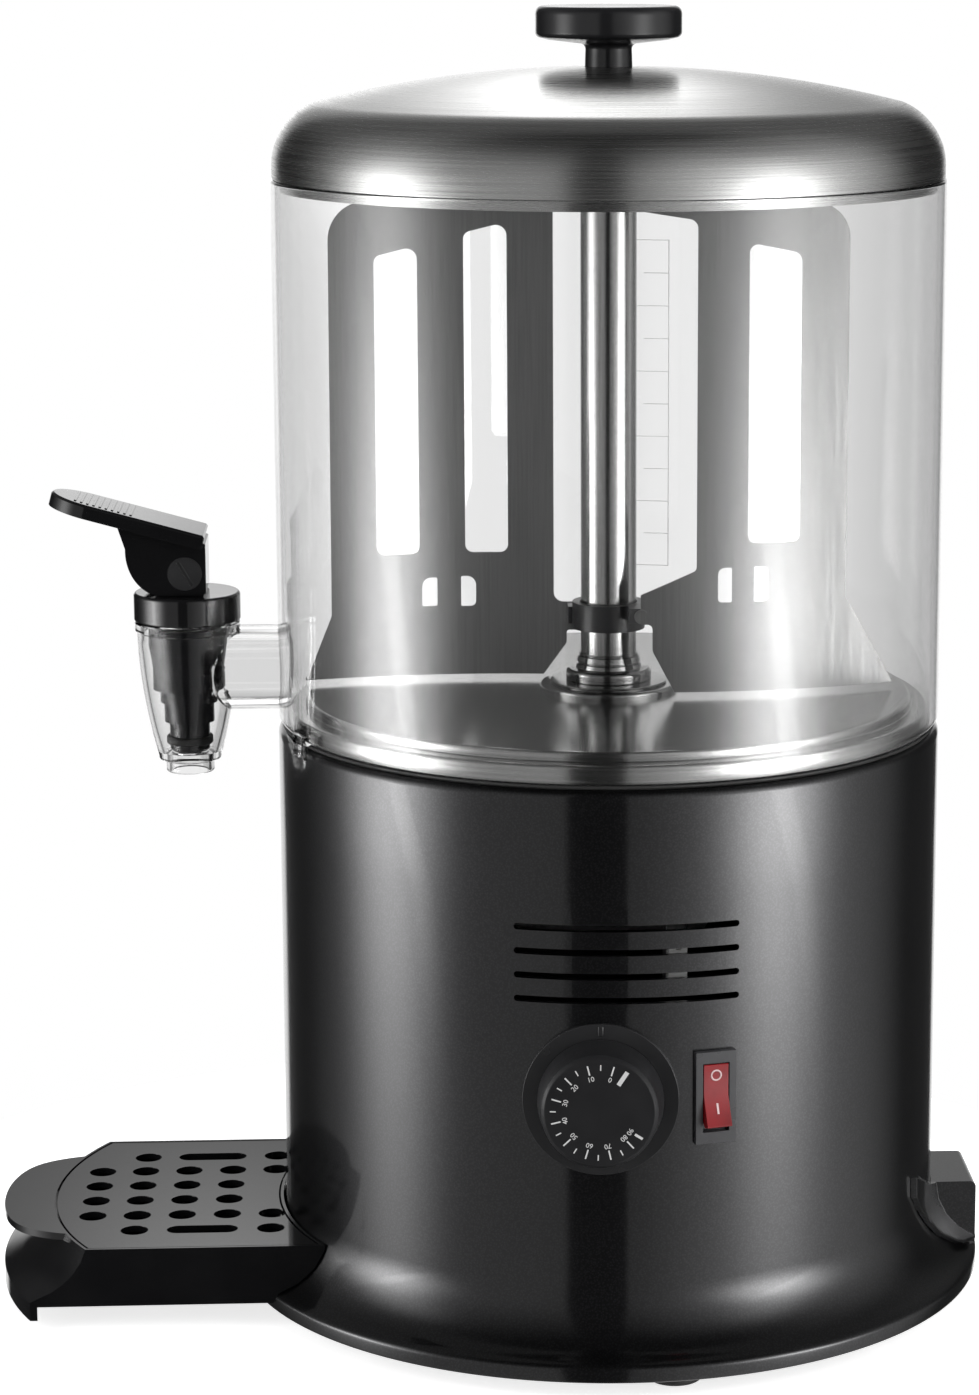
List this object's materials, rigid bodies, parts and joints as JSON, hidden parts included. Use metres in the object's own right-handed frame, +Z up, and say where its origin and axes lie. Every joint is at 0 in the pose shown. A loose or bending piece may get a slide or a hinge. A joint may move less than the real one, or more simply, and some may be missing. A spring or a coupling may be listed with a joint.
{
  "type": "hot drink dispenser",
  "caption": "Countertop hot chocolate dispenser: clear bowl with stirring paddle and tap over a heated round base, steel lid, thermostat dial, rocker switch and pull-out drip tray.",
  "frame": {"origin": "centre of the machine's bounding rectangle, on the surface the feet stand on", "axes": "+Z up; -Y is the side with the dial and switch; -X is the side with the tap and drip tray"},
  "size_m": [0.369, 0.28, 0.475],
  "materials": {
    "grey_paint": "gloss metallic",
    "dark_steel": "satin",
    "black_rubber": "matte",
    "zinc_steel": "satin",
    "grey_plastic": "gloss",
    "polished_steel": "polished",
    "brass_nut": "satin",
    "white_plastic": "matte",
    "cast_alloy": "cast",
    "satin_steel": "satin",
    "black_plastic": "gloss",
    "clear_plastic": "clear",
    "brushed_lid": "circular brushed",
    "spring_steel": "plain",
    "red_plastic": "translucent gloss"
  },
  "bodies": {
    "base": {"housing": "grey_paint", "base_plate": "dark_steel", "feet": "black_rubber", "foot_screws": "zinc_steel", "base_screws": "zinc_steel", "rear_block": "grey_plastic", "cable_bush": "black_rubber", "pan": "polished_steel", "bowl_seal": "black_rubber", "column": "polished_steel", "column_foot": "polished_steel", "column_nut": "brass_nut", "bushes": "white_plastic", "gearbox": "cast_alloy", "motor": "dark_steel", "motor_bracket": "zinc_steel", "bracket_screws": "zinc_steel", "heater": "dark_steel", "terminal_block": "white_plastic", "dial_bezel": "black_plastic", "thermostat": "dark_steel", "switch_body": "black_plastic"},
    "paddle": {"drive_shaft": "polished_steel", "coupler": "zinc_steel", "long_wing": "satin_steel", "short_wing": "satin_steel", "guide_collar": "black_plastic", "drive_hub": "black_plastic", "wing_rivets": "satin_steel"},
    "bowl_unit": {"bowl": "clear_plastic", "tap_cap": "black_plastic"},
    "lid_unit": {"lid": "brushed_lid", "lid_knob": "black_plastic", "lid_screw": "zinc_steel"},
    "plunger_unit": {"plunger": "black_plastic", "plunger_seal": "black_rubber", "tap_spring": "spring_steel"},
    "lever_unit": {"tap_lever": "black_plastic", "lever_pin": "black_plastic"},
    "dial": {"dial_knob": "black_plastic", "thermostat_shaft": "zinc_steel"},
    "rocker": {"switch_rocker": "red_plastic"},
    "tray": {"drip_tray": "black_plastic"},
    "grid": {"drip_grid": "black_plastic"}
  },
  "joints": [
    {"name": "paddle_spin", "type": "hinge", "parent": "base", "child": "paddle", "pos_m": [0.0445, 0, 0.3], "axis": [0, 0, 1], "continuous": true},
    {"name": "bowl_lift", "type": "slide", "parent": "base", "child": "bowl_unit", "axis": [0, 0, 1], "range_m": [0, 0.24]},
    {"name": "lid_lift", "type": "slide", "parent": "bowl_unit", "child": "lid_unit", "axis": [0, 0, 1], "range_m": [0, 0.12]},
    {"name": "plunger_slide", "type": "slide", "parent": "bowl_unit", "child": "plunger_unit", "axis": [0, 0, 1], "range_m": [0, 0.0057], "deforming": ["tap_spring"]},
    {"name": "lever_hinge", "type": "hinge", "parent": "plunger_unit", "child": "lever_unit", "pos_m": [-0.1108, 0, 0.2715], "axis": [0, -1, 0], "range_deg": [0, 38], "stiffness_Nm_per_rad": 0.065, "springref_deg": -28.65},
    {"name": "dial_turn", "type": "hinge", "parent": "base", "child": "dial", "pos_m": [0.0351, -0.12364, 0.1045], "axis": [-0.0758, -0.9971, 0], "range_deg": [-237, 34]},
    {"name": "rocker_tilt", "type": "hinge", "parent": "base", "child": "rocker", "pos_m": [0.07452, -0.11691, 0.1038], "axis": [0.9686, 0.2487, 0], "range_deg": [0, 24]},
    {"name": "tray_slide", "type": "slide", "parent": "base", "child": "tray", "axis": [-1, 0, 0], "range_m": [0, 0.12]},
    {"name": "grid_lift", "type": "slide", "parent": "tray", "child": "grid", "axis": [0, 0, 1], "range_m": [0, 0.06]}
  ],
  "couplings": [
    {"joint": "plunger_slide", "follows": "lever_hinge", "m_per_rad": 0.0085}
  ]
}
